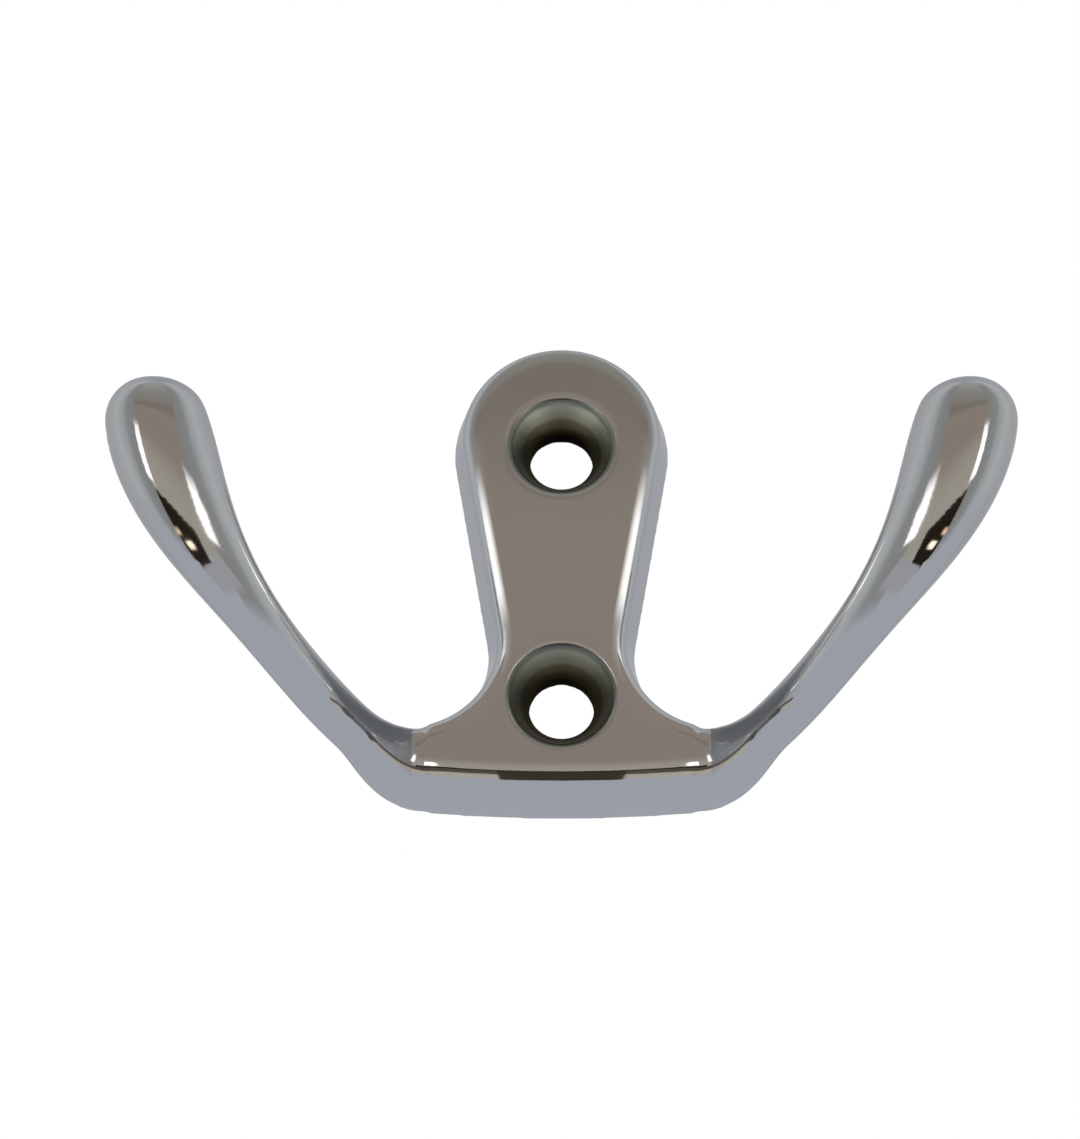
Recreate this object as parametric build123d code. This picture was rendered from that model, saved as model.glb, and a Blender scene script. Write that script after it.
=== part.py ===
"""Double robe hook, one casting: wall plate, two screw holes and two arms.

X runs along the wall, Y runs into the wall and Z is up. The origin lies on
the back face of the plate, midway between the two screw holes.
"""

import os
from math import acos, atan2, cos, degrees, hypot, pi, radians, sin, sqrt, tan

from build123d import *

# Wall plate, sizes in millimetres and angles in degrees
plate_thickness = 5.3
draft_angle = 12.0
bevel_width = 1.15
bevel_drop = 0.24
bevel_radius = 0.9
foot_edge_radius = 3.0
back_edge_break = 0.4
head_radius = 9.85
head_lift = 1.2
waist_width = 13.2
notch_radius = 6.9
foot_height = 8.0
foot_drop = 9.75
foot_bow = 0.5
foot_width = 23.0

# Screw holes
hole_spacing = 24.0
hole_radius = 2.85
throat_radius = 3.65
countersink_radius = 4.65
countersink_depth = 1.8
throat_depth = 3.2
rim_break = 0.12

# Arm path, from the foot of the plate to the tip of the bulb
arm_bend = 8.0
elbow_spread = 45.4
elbow_reach = 20.1
elbow_depth = 10.4
tip_spread = 68.9
tip_reach = 23.3
tip_height = 9.35
tip_rise = 17.1
tip_lean = 2.65
tip_pitch = 2.45

# Arm thickness, how square its section is and how far it turns by the tip
neck_width = 3.7
neck_depth = 4.15
bulb_width = 8.65
bulb_depth = 5.95
dome_length = 4.0
root_lower_power = 2.5
root_upper_power = 4.4
root_back_power = 9.0
neck_power = 2.7
bulb_power = 2.35
tip_twist = 0.3
tip_tilt = 0.4
seam_step = 0.03
lead_in = 0.8
section_points = 32

# Places along the arm, as parts of the length of its path
neck_place = 0.184
swell_place = 0.242
bulb_place = 0.835
swell_power = 1.88
root_power = 1.2
foot_stations = 7
swell_stations = 6
dome_stations = 4

upper_hole_z = hole_spacing / 2
lower_hole_z = -hole_spacing / 2
head_z = upper_hole_z + head_lift
foot_bottom_z = lower_hole_z - foot_drop
foot_top_z = foot_bottom_z + foot_height
notch_x = waist_width / 2 + notch_radius
notch_z = foot_top_z + notch_radius
arm_x = foot_width / 2
draft_inset = plate_thickness * tan(radians(draft_angle))

# The straight side of the stem touches the head circle and the notch circle
centre_gap = hypot(notch_x, notch_z - head_z)
centre_angle = atan2(notch_z - head_z, notch_x)
side_angle = centre_angle + acos((head_radius + notch_radius) / centre_gap)
head_touch = (head_radius * cos(side_angle), head_z + head_radius * sin(side_angle))
notch_touch = (notch_x - notch_radius * cos(side_angle), notch_z - notch_radius * sin(side_angle))
notch_base = (notch_x, foot_top_z)

# The lower edge of the foot is a shallow arc
foot_end_x = notch_x + notch_radius
bow_radius = (arm_x**2 + foot_bow**2) / (2 * foot_bow)
foot_end_z = foot_bottom_z + bow_radius - sqrt(bow_radius**2 - foot_end_x**2)

# Plate with drafted sides, a round lower front edge and a shallow bevel on the rest.
# It is cut off square where the arms begin.
wall_plane = Plane(origin=(0, 0, 0), x_dir=(1, 0, 0), z_dir=(0, -1, 0))
with BuildPart() as plate_builder:
    with BuildSketch(wall_plane):
        with BuildLine():
            RadiusArc((0, foot_bottom_z), (foot_end_x, foot_end_z), -bow_radius)
            Line((foot_end_x, foot_end_z), (foot_end_x, foot_top_z))
            Line((foot_end_x, foot_top_z), notch_base)
            RadiusArc(notch_base, notch_touch, notch_radius)
            Line(notch_touch, head_touch)
            CenterArc((0, head_z), head_radius, degrees(side_angle), 90 - degrees(side_angle))
            mirror(about=Plane.YZ)
        make_face()
    extrude(amount=plate_thickness, taper=draft_angle)
    foot_edges = plate_builder.faces().sort_by(Axis.Y)[0].edges().group_by(Axis.Z)[0]
    fillet(foot_edges, foot_edge_radius)
    front_face = plate_builder.faces().sort_by(Axis.Y)[0]
    upper_edges = front_face.edges().filter_by(Axis.Z, reverse=True).sort_by(Axis.Z)[1:]
    chamfer(upper_edges, bevel_width, bevel_drop, reference=front_face)
    bevel_y = bevel_drop * cos(radians(draft_angle)) - plate_thickness
    bevel_edges = plate_builder.edges().filter_by_position(Axis.Y, bevel_y - seam_step, bevel_y + seam_step)
    fillet(bevel_edges, bevel_radius)
    chamfer(plate_builder.faces().sort_by(Axis.Y)[-1].edges(), back_edge_break)
    split(bisect_by=Plane(origin=(arm_x, 0, 0), z_dir=(-1, 0, 0)))
    split(bisect_by=Plane(origin=(-arm_x, 0, 0), z_dir=(1, 0, 0)))
plate = plate_builder.part

# The arm starts with the height and thickness of the cut foot
root_top_z = notch_z - sqrt(notch_radius**2 - (notch_x - arm_x) ** 2)
root_bottom_z = foot_bottom_z + foot_bow
root_height = root_top_z - root_bottom_z - 2 * seam_step
root_width = plate_thickness - 2 * seam_step
arm_root = Vector(-arm_x, -plate_thickness / 2, (root_bottom_z + root_top_z) / 2)
arm_tip = Vector(-tip_spread / 2, -tip_reach, tip_height)
root_underside = Vector(0, 0, -1)
tip_underside = Vector(tip_twist, -1, tip_tilt)
arm_path = Bezier(
    arm_root,
    arm_root - Vector(arm_bend, 0, 0),
    Vector(-elbow_spread / 2, -elbow_reach, -elbow_depth),
    arm_tip + Vector(tip_lean, tip_pitch, -tip_rise),
    arm_tip,
)


def ease(part):
    return part * part * (3 - 2 * part)


def blend(start, end, part):
    return start + (end - start) * part


def arm_section(place, shrink):
    narrowing = min(place / neck_place, 1)
    eased = ease(narrowing)
    swell = min(max((place - swell_place) / (bulb_place - swell_place), 0), 1)
    swell = ease(swell**swell_power)
    half_width = blend(blend(root_width, neck_depth, eased), bulb_width, swell) / 2 * shrink
    below = blend(blend(root_height, neck_width, eased), bulb_depth, swell) / 2 * shrink
    above = blend(blend(root_height, neck_width, sin(narrowing * pi / 2)), bulb_depth, swell) / 2 * shrink
    lower_power = blend(blend(root_lower_power, neck_power, eased), bulb_power, swell)
    upper_power = blend(blend(root_upper_power, neck_power, eased), bulb_power, swell)
    back_power = blend(blend(root_back_power, neck_power, eased), bulb_power, swell)
    slant = draft_inset / root_height * (1 - eased)

    # Rounded outline, squarer where the power is higher and drafted near the plate
    points = []
    for index in range(section_points):
        turn = 2 * pi * index / section_points
        half_height = below if sin(turn) > 0 else above
        front_power = lower_power if sin(turn) > 0 else upper_power
        power = back_power if cos(turn) > 0 else front_power
        spread = abs(cos(turn) / half_width) ** power + abs(sin(turn) / half_height) ** power
        across = spread ** (-1 / power) * cos(turn)
        along = spread ** (-1 / power) * sin(turn)
        points.append((across, along * (1 + slant * (across / half_width - 1))))
    knots = [index / section_points for index in range(section_points + 1)]
    outline = Edge.make_spline(points, periodic=True, parameters=knots)

    # The underside of the root turns to the front by the tip
    tangent = arm_path % place
    underside = blend(root_underside, tip_underside, place)
    plane = Plane(origin=arm_path @ place, x_dir=underside.cross(tangent), z_dir=tangent)
    return plane * Face(Wire(outline))


# Sections run from inside the plate, along the narrow neck and the bulb, to the domed tip
dome_place = 1 - dome_length / arm_path.length
sections = [Pos(*(arm_path % 0 * -lead_in)) * arm_section(0, 1)]
for index in range(foot_stations):
    sections.append(arm_section(swell_place * (index / foot_stations) ** root_power, 1))
for index in range(swell_stations):
    sections.append(arm_section(blend(swell_place, dome_place, index / swell_stations), 1))
for index in range(dome_stations):
    turn = pi / 2 * index / dome_stations
    sections.append(arm_section(blend(dome_place, 1, sin(turn)), cos(turn)))
sections.append(Vertex(*arm_tip))
arm = loft(sections)
hook = plate + arm + mirror(arm, about=Plane.YZ)

# Countersunk holes, straight where they reach the wall
hole_half = make_face(
    Polyline(
        (0, -plate_thickness),
        (countersink_radius + rim_break, -plate_thickness),
        (countersink_radius - rim_break / 2, rim_break - plate_thickness),
        (throat_radius, countersink_depth - plate_thickness),
        (hole_radius, throat_depth - plate_thickness),
        (hole_radius, 0),
        (0, 0),
        close=True,
    )
)
hole = revolve(hole_half, Axis.Y)
for hole_z in (lower_hole_z, upper_hole_z):
    hook -= Pos(0, 0, hole_z) * hole

os.makedirs("parts", exist_ok=True)
export_step(hook, "parts/hook_body.step")
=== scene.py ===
import math

import bpy
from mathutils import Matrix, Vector


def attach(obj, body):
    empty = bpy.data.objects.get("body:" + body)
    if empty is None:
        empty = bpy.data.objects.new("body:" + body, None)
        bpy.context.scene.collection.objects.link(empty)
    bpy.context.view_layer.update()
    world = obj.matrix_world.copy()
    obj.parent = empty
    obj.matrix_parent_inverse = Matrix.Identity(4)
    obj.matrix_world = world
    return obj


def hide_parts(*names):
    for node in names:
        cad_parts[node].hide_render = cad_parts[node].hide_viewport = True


mm = 0.001  # sizes below are in millimetres, and Blender works in metres

# colour sockets of a Mix node, by number because its sockets for values have the same names
colourA = 6
colourB = 7
colourOut = 2

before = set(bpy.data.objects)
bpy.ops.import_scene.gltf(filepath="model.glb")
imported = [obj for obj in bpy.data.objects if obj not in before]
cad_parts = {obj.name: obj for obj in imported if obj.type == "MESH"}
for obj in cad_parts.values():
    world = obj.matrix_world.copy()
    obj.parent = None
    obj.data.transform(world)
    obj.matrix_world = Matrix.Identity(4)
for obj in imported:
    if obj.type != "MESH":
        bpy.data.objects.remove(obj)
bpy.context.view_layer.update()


def hexColour(code):
    parts = [int(code[place:place + 2], 16) / 255 for place in (0, 2, 4)]
    return [part / 12.92 if part < 0.04045 else ((part + 0.055) / 1.055) ** 2.4 for part in parts] + [1]


def fillRamp(ramp, stops):
    ramp.elements.remove(ramp.elements[1])
    first = ramp.elements[0]
    first.position, colour = stops[0]
    first.color = hexColour(colour)
    for place, colour in stops[1:]:
        ramp.elements.new(place).color = hexColour(colour)


def addNode(tree, kind, settings=None, links=None):
    node = tree.nodes.new(kind)
    for key, value in (settings or {}).items():
        if isinstance(key, int) or key in node.inputs:
            node.inputs[key].default_value = value
        elif key == "stops":
            fillRamp(node.color_ramp, value)
        else:
            setattr(node, key, value)
    for key, source in (links or {}).items():
        tree.links.new(source, node.inputs[key])
    return node


def newMaterial(name):
    made = bpy.data.materials.new(name)
    made.use_nodes = True
    made.node_tree.nodes.clear()
    return made, made.node_tree


def deselectAll():
    bpy.ops.object.select_all(action="DESELECT")


# the casting after the polishing mop: plate and arms run into each other and no edge stays sharp
casting = {
    "weld": 0.002,  # mm, corners closer than this become one
    "cell": 0.225,  # mm, mesh cell that joins plate and arms into one skin
    "mopPress": 0.5,
    "mopPasses": 8,  # rounds of smoothing, each takes a little off the edges
    "armPasses": 20,  # further rounds on the arms, which have no edges to keep
    "armsFrom": 14.0,  # mm from the middle, where the arms are clear of the plate
}


def weldedCopy(node):
    cast = bpy.data.objects.new("hook_casting", node.data.copy())
    bpy.context.collection.objects.link(cast)
    deselectAll()
    cast.select_set(True)
    bpy.context.view_layer.objects.active = cast
    bpy.ops.object.mode_set(mode="EDIT")
    bpy.ops.mesh.select_all(action="SELECT")
    bpy.ops.mesh.remove_doubles(threshold=casting["weld"] * mm)
    bpy.ops.object.mode_set(mode="OBJECT")
    return cast


def joinSkin(cast):
    skin = cast.modifiers.new("skin", "REMESH")
    skin.mode = "VOXEL"
    skin.voxel_size = casting["cell"] * mm
    skin.use_smooth_shade = True
    bpy.ops.object.modifier_apply(modifier=skin.name)


def mopOver(cast, passes, group=""):
    mop = cast.modifiers.new("mop", "SMOOTH")
    mop.factor = casting["mopPress"]
    mop.iterations = passes
    mop.vertex_group = group
    bpy.ops.object.modifier_apply(modifier=mop.name)


def polishedCasting(node):
    cast = weldedCopy(node)
    joinSkin(cast)
    arms = cast.vertex_groups.new(name="arms")
    armPoints = [point.index for point in cast.data.vertices if abs(point.co.x) > casting["armsFrom"] * mm]
    arms.add(armPoints, 1.0, "REPLACE")
    mopOver(cast, casting["mopPasses"])
    mopOver(cast, casting["armPasses"], arms.name)
    bpy.ops.object.shade_smooth()
    return cast


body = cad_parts["hook_body"]
hook = polishedCasting(body)
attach(hook, "root")
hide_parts("hook_body")
print("casting polished,", len(hook.data.polygons), "faces")


# bright chrome plated over a polished zinc casting: mirror-like, a little wavy from hand polishing.
# Inside the screw holes the colour is painted light: pale bands of painted reflection on the countersink,
# then olive and almost black painted shade deeper in, where the finish is also rougher.
chrome = {
    "plate": "c9c7c5",  # warm grey mirror
    "roughness": (0.05, 0.10),  # brightest and dullest polish
    "hazeSize": 7.0,  # mm across the patches of brighter and duller polish
    "hazeDetail": 4.0,
    "hazeRange": (0.3, 0.7),  # part of the noise over which the polish goes from bright to dull
    "mopSize": 5.0,  # mm between soft hollows left by the polishing mop
    "mopDetail": 1.0,
    "mopDepth": 0.003,  # mm
    "peelSize": 0.9,  # mm between the fine dimples of the plating
    "peelDetail": 2.0,
    "peelDepth": 0.0003,  # mm
    "holeGap": 24.0,  # mm between the screw holes
    "holeEdge": (4.95, 4.7),  # mm, radius where the painted hole colour starts and where it is full
    "holeDepth": (-5.3, 0.0),  # mm, front and back of the plate
    "holeReflectionAndShade": ((0.0, "6f6f66"), (0.05, "7c7c72"), (0.12, "d8d9d2"), (0.32, "d0d1c8"),  # part of depth; painted reflection, then painted shade
                    (0.38, "a29e89"), (0.58, "928c73"), (0.68, "2e2a1e"), (0.8, "15130d")),
    "holeBack": (1.0, 0.96),  # part of the depth, the painted hole colour stops at the back face
    "holeRoughness": 0.3,
}


def polishMarks(tree, spot):
    waves = addNode(tree, "ShaderNodeTexNoise", {
        "Scale": 1 / (chrome["mopSize"] * mm), "Detail": chrome["mopDetail"],
    }, {"Vector": spot})
    peel = addNode(tree, "ShaderNodeTexNoise", {
        "Scale": 1 / (chrome["peelSize"] * mm), "Detail": chrome["peelDetail"],
    }, {"Vector": spot})
    hollows = addNode(tree, "ShaderNodeBump", {"Strength": 1.0, "Distance": chrome["mopDepth"] * mm},
                      {"Height": waves.outputs["Fac"]})
    dimples = addNode(tree, "ShaderNodeBump", {"Strength": 1.0, "Distance": chrome["peelDepth"] * mm},
                      {"Height": peel.outputs["Fac"], "Normal": hollows.outputs["Normal"]})
    return dimples.outputs["Normal"]


def polishPatches(tree, spot):
    haze = addNode(tree, "ShaderNodeTexNoise", {
        "Scale": 1 / (chrome["hazeSize"] * mm), "Detail": chrome["hazeDetail"],
    }, {"Vector": spot})
    polish = addNode(tree, "ShaderNodeMapRange", {
        "From Min": chrome["hazeRange"][0], "From Max": chrome["hazeRange"][1],
        "To Min": chrome["roughness"][0], "To Max": chrome["roughness"][1],
    }, {"Value": haze.outputs["Fac"]})
    return polish.outputs[0]


def holePaintedLight(tree, spot):
    # painted reflection and painted shade inside the screw holes, with a rougher finish there
    # distance from the axis of the nearer hole
    axes = addNode(tree, "ShaderNodeSeparateXYZ", links={"Vector": spot})
    height = addNode(tree, "ShaderNodeMath", {"operation": "ABSOLUTE"}, {0: axes.outputs["Z"]})
    above = addNode(tree, "ShaderNodeMath", {"operation": "SUBTRACT", 1: chrome["holeGap"] / 2 * mm},
                    {0: height.outputs[0]})
    offset = addNode(tree, "ShaderNodeCombineXYZ", links={"X": axes.outputs["X"], "Y": above.outputs[0]})
    radius = addNode(tree, "ShaderNodeVectorMath", {"operation": "LENGTH"}, {0: offset.outputs[0]})
    near = addNode(tree, "ShaderNodeMapRange", {
        "interpolation_type": "SMOOTHSTEP",
        "From Min": chrome["holeEdge"][0] * mm, "From Max": chrome["holeEdge"][1] * mm,
    }, {"Value": radius.outputs["Value"]})

    # depth from the front of the plate to its back, which stays bright
    depth = addNode(tree, "ShaderNodeMapRange", {
        "From Min": chrome["holeDepth"][0] * mm, "From Max": chrome["holeDepth"][1] * mm,
    }, {"Value": axes.outputs["Y"]})
    front = addNode(tree, "ShaderNodeMapRange", {
        "From Min": chrome["holeBack"][0], "From Max": chrome["holeBack"][1],
    }, {"Value": depth.outputs[0]})
    inside = addNode(tree, "ShaderNodeMath", {"operation": "MULTIPLY"},
                     {0: near.outputs[0], 1: front.outputs[0]})
    # painted reflection bands, then painted shade, by depth
    paintedHoleLight = addNode(tree, "ShaderNodeValToRGB", {"stops": chrome["holeReflectionAndShade"]}, {"Fac": depth.outputs[0]})
    return inside.outputs[0], paintedHoleLight.outputs["Color"]


def chromeMaterial():
    made, tree = newMaterial("bright chrome plated on polished zinc")
    spot = addNode(tree, "ShaderNodeTexCoord").outputs["Object"]
    inside, paintedHoleLight = holePaintedLight(tree, spot)
    # base colour carries the painted light of the screw holes
    colour = addNode(tree, "ShaderNodeMix", {"data_type": "RGBA", colourA: hexColour(chrome["plate"])},
                     {"Factor": inside, colourB: paintedHoleLight})
    roughness = addNode(tree, "ShaderNodeMix", {"B": chrome["holeRoughness"]},
                        {"Factor": inside, "A": polishPatches(tree, spot)})
    shader = addNode(tree, "ShaderNodeBsdfPrincipled", {"Metallic": 1.0}, {
        "Base Color": colour.outputs[colourOut],
        "Roughness": roughness.outputs[0],
        "Normal": polishMarks(tree, spot),
    })
    addNode(tree, "ShaderNodeOutputMaterial", links={"Surface": shader.outputs["BSDF"]})
    return made


hook.data.materials.clear()
hook.data.materials.append(chromeMaterial())
print("chrome on the casting")


# camera in front of the hook and below it, as in the photograph
view = {
    "rise": 24.0,  # degrees that it looks up
    "distance": 250.0,  # mm
    "target": (0.0, -5.3, -0.2),  # mm
    "focal": 2842.5,  # px in a frame of the size below
    "frame": (1080, 1139),  # px
    "centre": 561.5,  # px, where the middle of the hook falls
    "sensor": 36.0,  # mm
}
rise = math.radians(view["rise"])
look = Vector((0, math.cos(rise), math.sin(rise)))
deselectAll()
bpy.ops.object.camera_add()
camera = bpy.context.object
camera.location = (Vector(view["target"]) - look * view["distance"]) * mm
camera.rotation_mode = "QUATERNION"
camera.rotation_quaternion = look.to_track_quat("-Z", "Y")
camera.data.sensor_width = view["sensor"]
camera.data.lens = view["sensor"] * view["focal"] / view["frame"][1]
camera.data.shift_x = (view["frame"][0] / 2 - view["centre"]) / view["frame"][1]
bpy.context.scene.camera = camera
print("camera", [round(part / mm) for part in camera.location], "mm")


# cards are what the mirror finish looks at, besides the tent: they glow on one side and the camera doesn't
# see them. Sizes and places are in mm, angles in degrees, and colours run from 0 to 1 along the card.
def plain(code):
    return ((0.0, code),)


def cardMaterial(name, colours, along="X", strength=1.0, ends=plain("ffffff"), sides=plain("ffffff")):
    made, tree = newMaterial(name)
    spot = addNode(tree, "ShaderNodeTexCoord").outputs["Object"]
    place = addNode(tree, "ShaderNodeVectorMath", {"operation": "ADD", 1: (0.5, 0.5, 0.0)}, {0: spot})
    axes = addNode(tree, "ShaderNodeSeparateXYZ", links={"Vector": place.outputs[0]})
    colour = addNode(tree, "ShaderNodeValToRGB", {"stops": colours}, {"Fac": axes.outputs[along]})
    glow = addNode(tree, "ShaderNodeEmission", {"Strength": strength}, {"Color": colour.outputs["Color"]})

    # it is clear from behind, and where a fade is black
    clear = addNode(tree, "ShaderNodeBsdfTransparent")
    endFade = addNode(tree, "ShaderNodeValToRGB", {"stops": ends}, {"Fac": axes.outputs["Y"]})
    sideFade = addNode(tree, "ShaderNodeValToRGB", {"stops": sides}, {"Fac": axes.outputs["X"]})
    fade = addNode(tree, "ShaderNodeMath", {"operation": "MULTIPLY"},
                   {0: endFade.outputs["Color"], 1: sideFade.outputs["Color"]})
    face = addNode(tree, "ShaderNodeNewGeometry")
    front = addNode(tree, "ShaderNodeMath", {"operation": "SUBTRACT", 0: 1.0},
                    {1: face.outputs["Backfacing"]})
    shown = addNode(tree, "ShaderNodeMath", {"operation": "MULTIPLY"},
                    {0: front.outputs[0], 1: fade.outputs[0]})
    mixed = addNode(tree, "ShaderNodeMixShader",
                    links={0: shown.outputs[0], 1: clear.outputs[0], 2: glow.outputs[0]})
    addNode(tree, "ShaderNodeOutputMaterial", links={"Surface": mixed.outputs[0]})
    return made


def offCamera(piece):
    piece.visible_camera = False
    piece.visible_shadow = False
    piece.visible_diffuse = False


def addCard(name, centre, size, material, turn=0.0, roll=0.0):
    deselectAll()
    facing = [math.radians(angle) for angle in (90, roll, 180 + turn)]  # upright, glowing side to the wall
    bpy.ops.mesh.primitive_plane_add(size=1, location=[part * mm for part in centre], rotation=facing)
    card = bpy.context.object
    card.name = name
    card.scale = (size[0] * mm, size[1] * mm, 1)
    card.data.materials.append(material)
    offCamera(card)


def addPair(name, card, material):
    across, ahead, up = card["centre"]
    for side in (-1, 1):
        addCard(name, (side * across, ahead, up), card["size"], material,
                side * card["turn"], side * card["roll"])


# tent flaps beside the opening, with a strip light in front of the edge of each
flaps = {
    "edge": 56.0,
    "ahead": -129.0,
    "width": 440.0,
    "low": -150.0,
    "high": 500.0,
    "colours": ((0.0, "9c9e9f"), (0.1, "a6a9ab"), (0.18, "bec4c8"), (0.4, "ccd2d6"),  # from the edge outwards
                (1.0, "d3d8dd")),
    "ends": ((0.0, "000000"), (0.1, "ffffff")),
}
strips = {
    "ahead": -128.0,
    "width": 17.0,
    "low": -25.0,
    "high": 33.0,
    "power": 2.0,
    "ends": ((0.0, "000000"), (0.05, "ffffff"), (0.7, "ffffff"), (1.0, "000000")),
}
flapSize = (flaps["width"], flaps["high"] - flaps["low"])
flapAcross = flaps["edge"] + flaps["width"] / 2
flapMiddle = (flaps["high"] + flaps["low"]) / 2
stripSize = (strips["width"], strips["high"] - strips["low"])
stripMiddle = (strips["high"] + strips["low"]) / 2
stripGlow = cardMaterial("strip light", plain("ffffff"), "Y", strips["power"], strips["ends"])
for side in (-1, 1):
    colours = flaps["colours"]
    if side > 0:  # this card runs inwards
        colours = [(1 - place, colour) for place, colour in reversed(colours)]
    flapCloth = cardMaterial("flap cloth", colours, ends=flaps["ends"])
    addCard("flap", (side * flapAcross, flaps["ahead"], flapMiddle), flapSize, flapCloth)
    addCard("strip", (side * flaps["edge"], strips["ahead"], stripMiddle), stripSize, stripGlow)

# small reflectors that draw a bright line along the edges of the stem
reflectors = {
    "centre": (16.5, -22.0, 9.0),
    "size": (15.0, 24.0),
    "turn": 24.0,
    "roll": -14.6,
    "power": 1.8,
    "ends": ((0.0, "000000"), (0.15, "505050"), (0.3, "ffffff"), (0.6, "ffffff"), (0.85, "303030"),
             (1.0, "000000")),
    "sides": ((0.0, "000000"), (0.3, "ffffff"), (0.7, "ffffff"), (1.0, "000000")),
}
addPair("reflector", reflectors, cardMaterial("silver reflector", plain("ffffff"), "Y", reflectors["power"],
                                              reflectors["ends"], reflectors["sides"]))

# the dark camera stand
stand = {
    "centre": (0.0, -236.0, -142.0),
    "size": (156.0, 165.0),
    "colour": "2a231d",
}
addCard("stand", stand["centre"], stand["size"], cardMaterial("camera stand", plain(stand["colour"])))

# small lamps, two below each bulb and one in front of each lower corner of the plate
softEdge = ((0.0, "000000"), (0.35, "ffffff"), (0.65, "ffffff"), (1.0, "000000"))
lamps = (
    {
        "centre": (29.4, -32.6, -12.3),
        "size": (2.2, 5.4),
        "turn": 0.0,
        "roll": 56.0,
        "colour": "fff0d8",
        "power": 2.5,
    },
    {
        "centre": (32.7, -33.1, -11.3),
        "size": (1.6, 4.0),
        "turn": 0.0,
        "roll": 56.0,
        "colour": "e8c8a8",
        "power": 1.6,
    },
    {
        "centre": (12.4, -17.2, -18.9),
        "size": (2.2, 3.2),
        "turn": 40.0,
        "roll": 0.0,
        "colour": "ffffff",
        "power": 4.0,
    },
)
for lamp in lamps:
    addPair("lamp", lamp, cardMaterial("lamp", plain(lamp["colour"]), "X", lamp["power"], softEdge, softEdge))

# pale cards that end the stand's reflection below the bulbs
armCards = {
    "centre": (22.4, -30.5, -16.3),
    "size": (12.0, 9.0),
    "turn": 0.0,
    "roll": -40.0,
    "colour": "b9bcc2",
    "ends": ((0.0, "000000"), (0.35, "ffffff")),
}
addPair("arm_card", armCards, cardMaterial("pale card", plain(armCards["colour"]), ends=armCards["ends"]))

# grey cards beside the roots of the arms, which face away from the plate
rootCards = {
    "centre": (12.8, -8.5, -12.0),
    "size": (13.0, 17.0),
    "turn": -90.0,
    "roll": 0.0,
    "colours": ((0.0, "7c8086"), (0.45, "6f7379"), (0.7, "85898f"), (1.0, "a0a4aa")),
    "fade": ((0.0, "000000"), (0.3, "ffffff"), (0.7, "ffffff"), (1.0, "000000")),
}
addPair("root_card", rootCards, cardMaterial("grey card", rootCards["colours"], "Y", 1.0, rootCards["fade"],
                                             rootCards["fade"]))

# brown cards that keep the reflectors out of the notches beside the stem
notchCards = {
    "centre": (10.5, -8.5, -9.8),
    "size": (8.0, 7.0),
    "turn": 0.0,
    "roll": 0.0,
    "colour": "a69d95",
}
addPair("notch_card", notchCards, cardMaterial("brown card", plain(notchCards["colour"])))

# dark cards that close the screw holes at the wall and face the front, with their corners inside the plate
holeCards = {
    "ahead": -0.3,
    "size": (6.0, 6.0),
    "turn": 180.0,
    "colour": "332f25",
}
holeDark = cardMaterial("black card", plain(holeCards["colour"]))
for level in (-1, 1):
    holeCentre = (0.0, holeCards["ahead"], level * chrome["holeGap"] / 2)
    addCard("hole_card", holeCentre, holeCards["size"], holeDark, holeCards["turn"])

# cards below the foot: a dark one in the middle, and on each side a pale one with a dark top
footCards = {
    "centre": (0.0, -14.0, -24.6),
    "height": 6.8,
    "darkWidth": 12.0,
    "dark": "444138",
    "paleWidth": 7.0,
    "pale": ((0.0, "c2cad6"), (0.3, "cfc9bd"), (0.62, "cfc9bd"), (0.74, "57534a"), (1.0, "6b665c")),
}
footSides = {
    "centre": ((footCards["darkWidth"] + footCards["paleWidth"]) / 2, *footCards["centre"][1:]),
    "size": (footCards["paleWidth"], footCards["height"]),
    "turn": 0.0,
    "roll": 0.0,
}
addCard("foot_card", footCards["centre"], (footCards["darkWidth"], footCards["height"]),
        cardMaterial("dark card", plain(footCards["dark"])))
addPair("foot_card", footSides, cardMaterial("pale card", footCards["pale"], "Y"))
print("cards set")


# cloth tent with a tall opening at the front, where a warm room shows
tentCloth = {
    "radius": 600.0,  # mm
    "segments": 96,
    "rings": 48,
    "room": ((-90, "bdbab1"), (-8, "bdbab1"), (0, "bbb6ac"), (6, "b3aca4"),  # degrees up, colour
             (12, "a69b94"), (20, "a49b93"), (25, "a79f96"), (29, "938b82"),
             (36, "9f9a95"), (52, "a2a39f"), (90, "bfc1c1")),
    "sides": ((60, "d0d4d8"), (130, "bbc0c6"), (180, "b0b5bb")),  # degrees to the side, colour
    "opening": (50.0, 56.0),  # degrees to the side, where the room ends and the cloth starts
    "under": "c2cad6",
    "underRange": (-0.30, -0.50),  # part of the radius, where the lower cloth starts and is full
}


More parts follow.
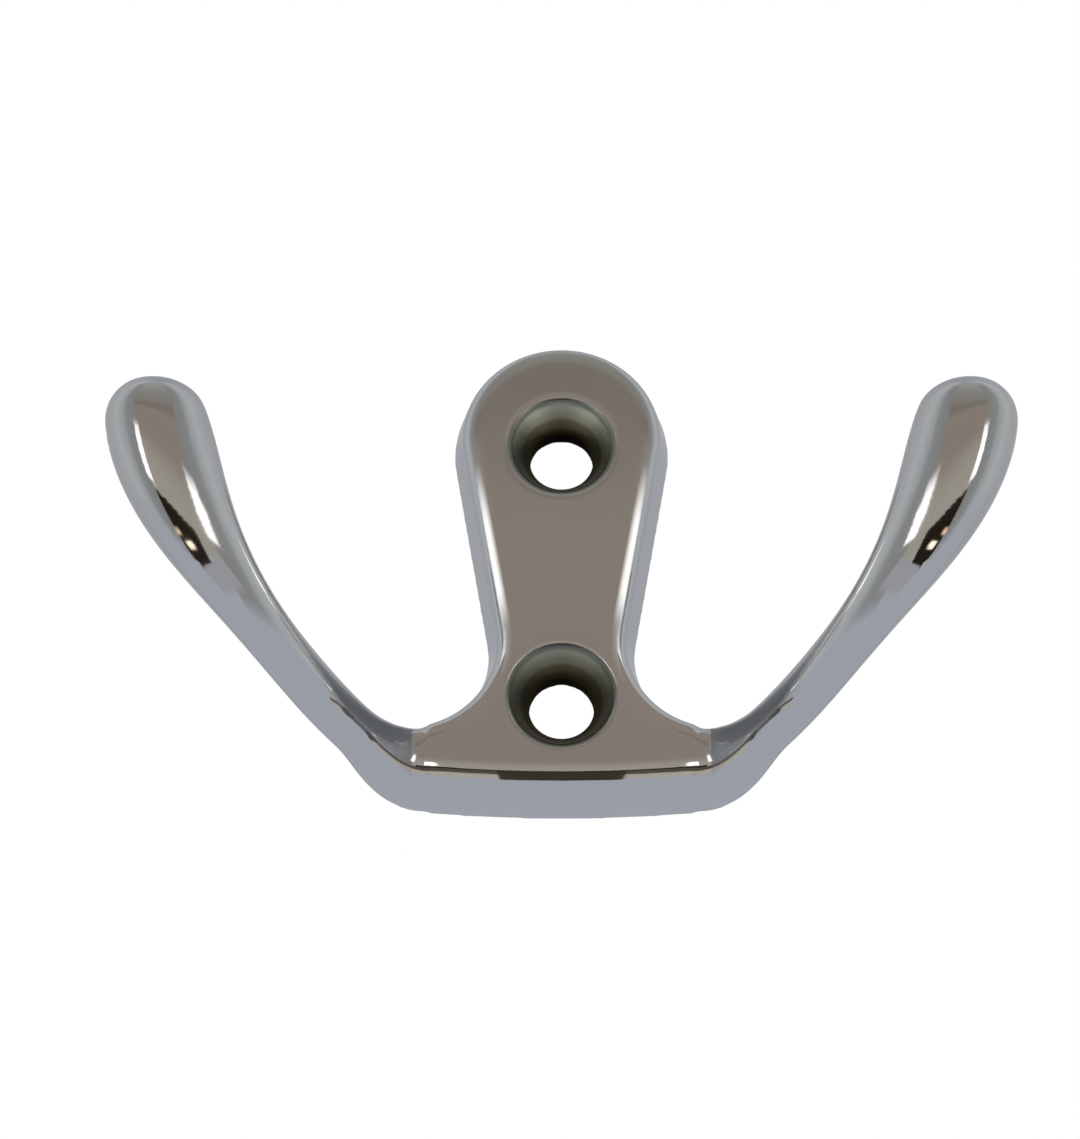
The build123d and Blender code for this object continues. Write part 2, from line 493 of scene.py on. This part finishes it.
def tentMaterial():
    made, tree = newMaterial("tent cloth")
    spot = addNode(tree, "ShaderNodeTexCoord").outputs["Object"]
    way = addNode(tree, "ShaderNodeVectorMath", {"operation": "NORMALIZE"}, {0: spot})
    axes = addNode(tree, "ShaderNodeSeparateXYZ", links={"Vector": way.outputs[0]})

    # angle to the side of the front, and angle up
    aside = addNode(tree, "ShaderNodeMath", {"operation": "ABSOLUTE"}, {0: axes.outputs["X"]})
    ahead = addNode(tree, "ShaderNodeMath", {"operation": "MULTIPLY", 1: -1.0}, {0: axes.outputs["Y"]})
    sideways = addNode(tree, "ShaderNodeMath", {"operation": "ARCTAN2"},
                       {0: aside.outputs[0], 1: ahead.outputs[0]})
    upwards = addNode(tree, "ShaderNodeMath", {"operation": "ARCSINE"}, {0: axes.outputs["Z"]})
    sidePlace = addNode(tree, "ShaderNodeMapRange", {"From Min": 0.0, "From Max": math.pi},
                        {"Value": sideways.outputs[0]})
    upPlace = addNode(tree, "ShaderNodeMapRange", {"From Min": -math.pi / 2, "From Max": math.pi / 2},
                      {"Value": upwards.outputs[0]})

    # room in the opening, cloth beside it and below
    room = addNode(tree, "ShaderNodeValToRGB", {
        "stops": [((degree + 90) / 180, colour) for degree, colour in tentCloth["room"]],
    }, {"Fac": upPlace.outputs[0]})
    cloth = addNode(tree, "ShaderNodeValToRGB", {
        "stops": [(degree / 180, colour) for degree, colour in tentCloth["sides"]],
    }, {"Fac": sidePlace.outputs[0]})
    edge = addNode(tree, "ShaderNodeMapRange", {
        "interpolation_type": "SMOOTHSTEP",
        "From Min": math.radians(tentCloth["opening"][0]), "From Max": math.radians(tentCloth["opening"][1]),
    }, {"Value": sideways.outputs[0]})
    around = addNode(tree, "ShaderNodeMix", {"data_type": "RGBA"}, {
        "Factor": edge.outputs[0], colourA: room.outputs["Color"], colourB: cloth.outputs["Color"],
    })
    below = addNode(tree, "ShaderNodeMapRange", {
        "interpolation_type": "SMOOTHSTEP",
        "From Min": tentCloth["underRange"][0], "From Max": tentCloth["underRange"][1],
    }, {"Value": axes.outputs["Z"]})
    whole = addNode(tree, "ShaderNodeMix", {"data_type": "RGBA", colourB: hexColour(tentCloth["under"])},
                    {"Factor": below.outputs[0], colourA: around.outputs[colourOut]})
    glow = addNode(tree, "ShaderNodeEmission", links={"Color": whole.outputs[colourOut]})
    addNode(tree, "ShaderNodeOutputMaterial", links={"Surface": glow.outputs["Emission"]})
    return made


deselectAll()
bpy.ops.mesh.primitive_uv_sphere_add(segments=tentCloth["segments"], ring_count=tentCloth["rings"],
                                     radius=tentCloth["radius"] * mm)
tent = bpy.context.object
tent.name = "tent"
tent.data.materials.append(tentMaterial())
offCamera(tent)


# matt pale floor under the tent, which the camera doesn't see while it looks up
floorSheet = {
    "size": 6000.0,  # mm
    "level": -700.0,  # mm
    "colour": "e8e8e8",
    "roughness": 0.8,
}


def floorMaterial():
    made, tree = newMaterial("matt pale floor")
    shader = addNode(tree, "ShaderNodeBsdfPrincipled", {
        "Base Color": hexColour(floorSheet["colour"]), "Roughness": floorSheet["roughness"],
    })
    addNode(tree, "ShaderNodeOutputMaterial", links={"Surface": shader.outputs["BSDF"]})
    return made


deselectAll()
bpy.ops.mesh.primitive_plane_add(size=floorSheet["size"] * mm, location=(0, 0, floorSheet["level"] * mm))
floor = bpy.context.object
floor.name = "floor"
floor.data.materials.append(floorMaterial())


def whiteWorld():
    made = bpy.data.worlds.new("studio")
    made.use_nodes = True
    tree = made.node_tree
    tree.nodes.clear()
    light = addNode(tree, "ShaderNodeBackground", {"Color": hexColour("ffffff"), "Strength": 1.0})
    addNode(tree, "ShaderNodeOutputWorld", links={"Surface": light.outputs["Background"]})
    return made


scene = bpy.context.scene
scene.view_settings.view_transform = "Standard"
scene.world = whiteWorld()
print("studio set")
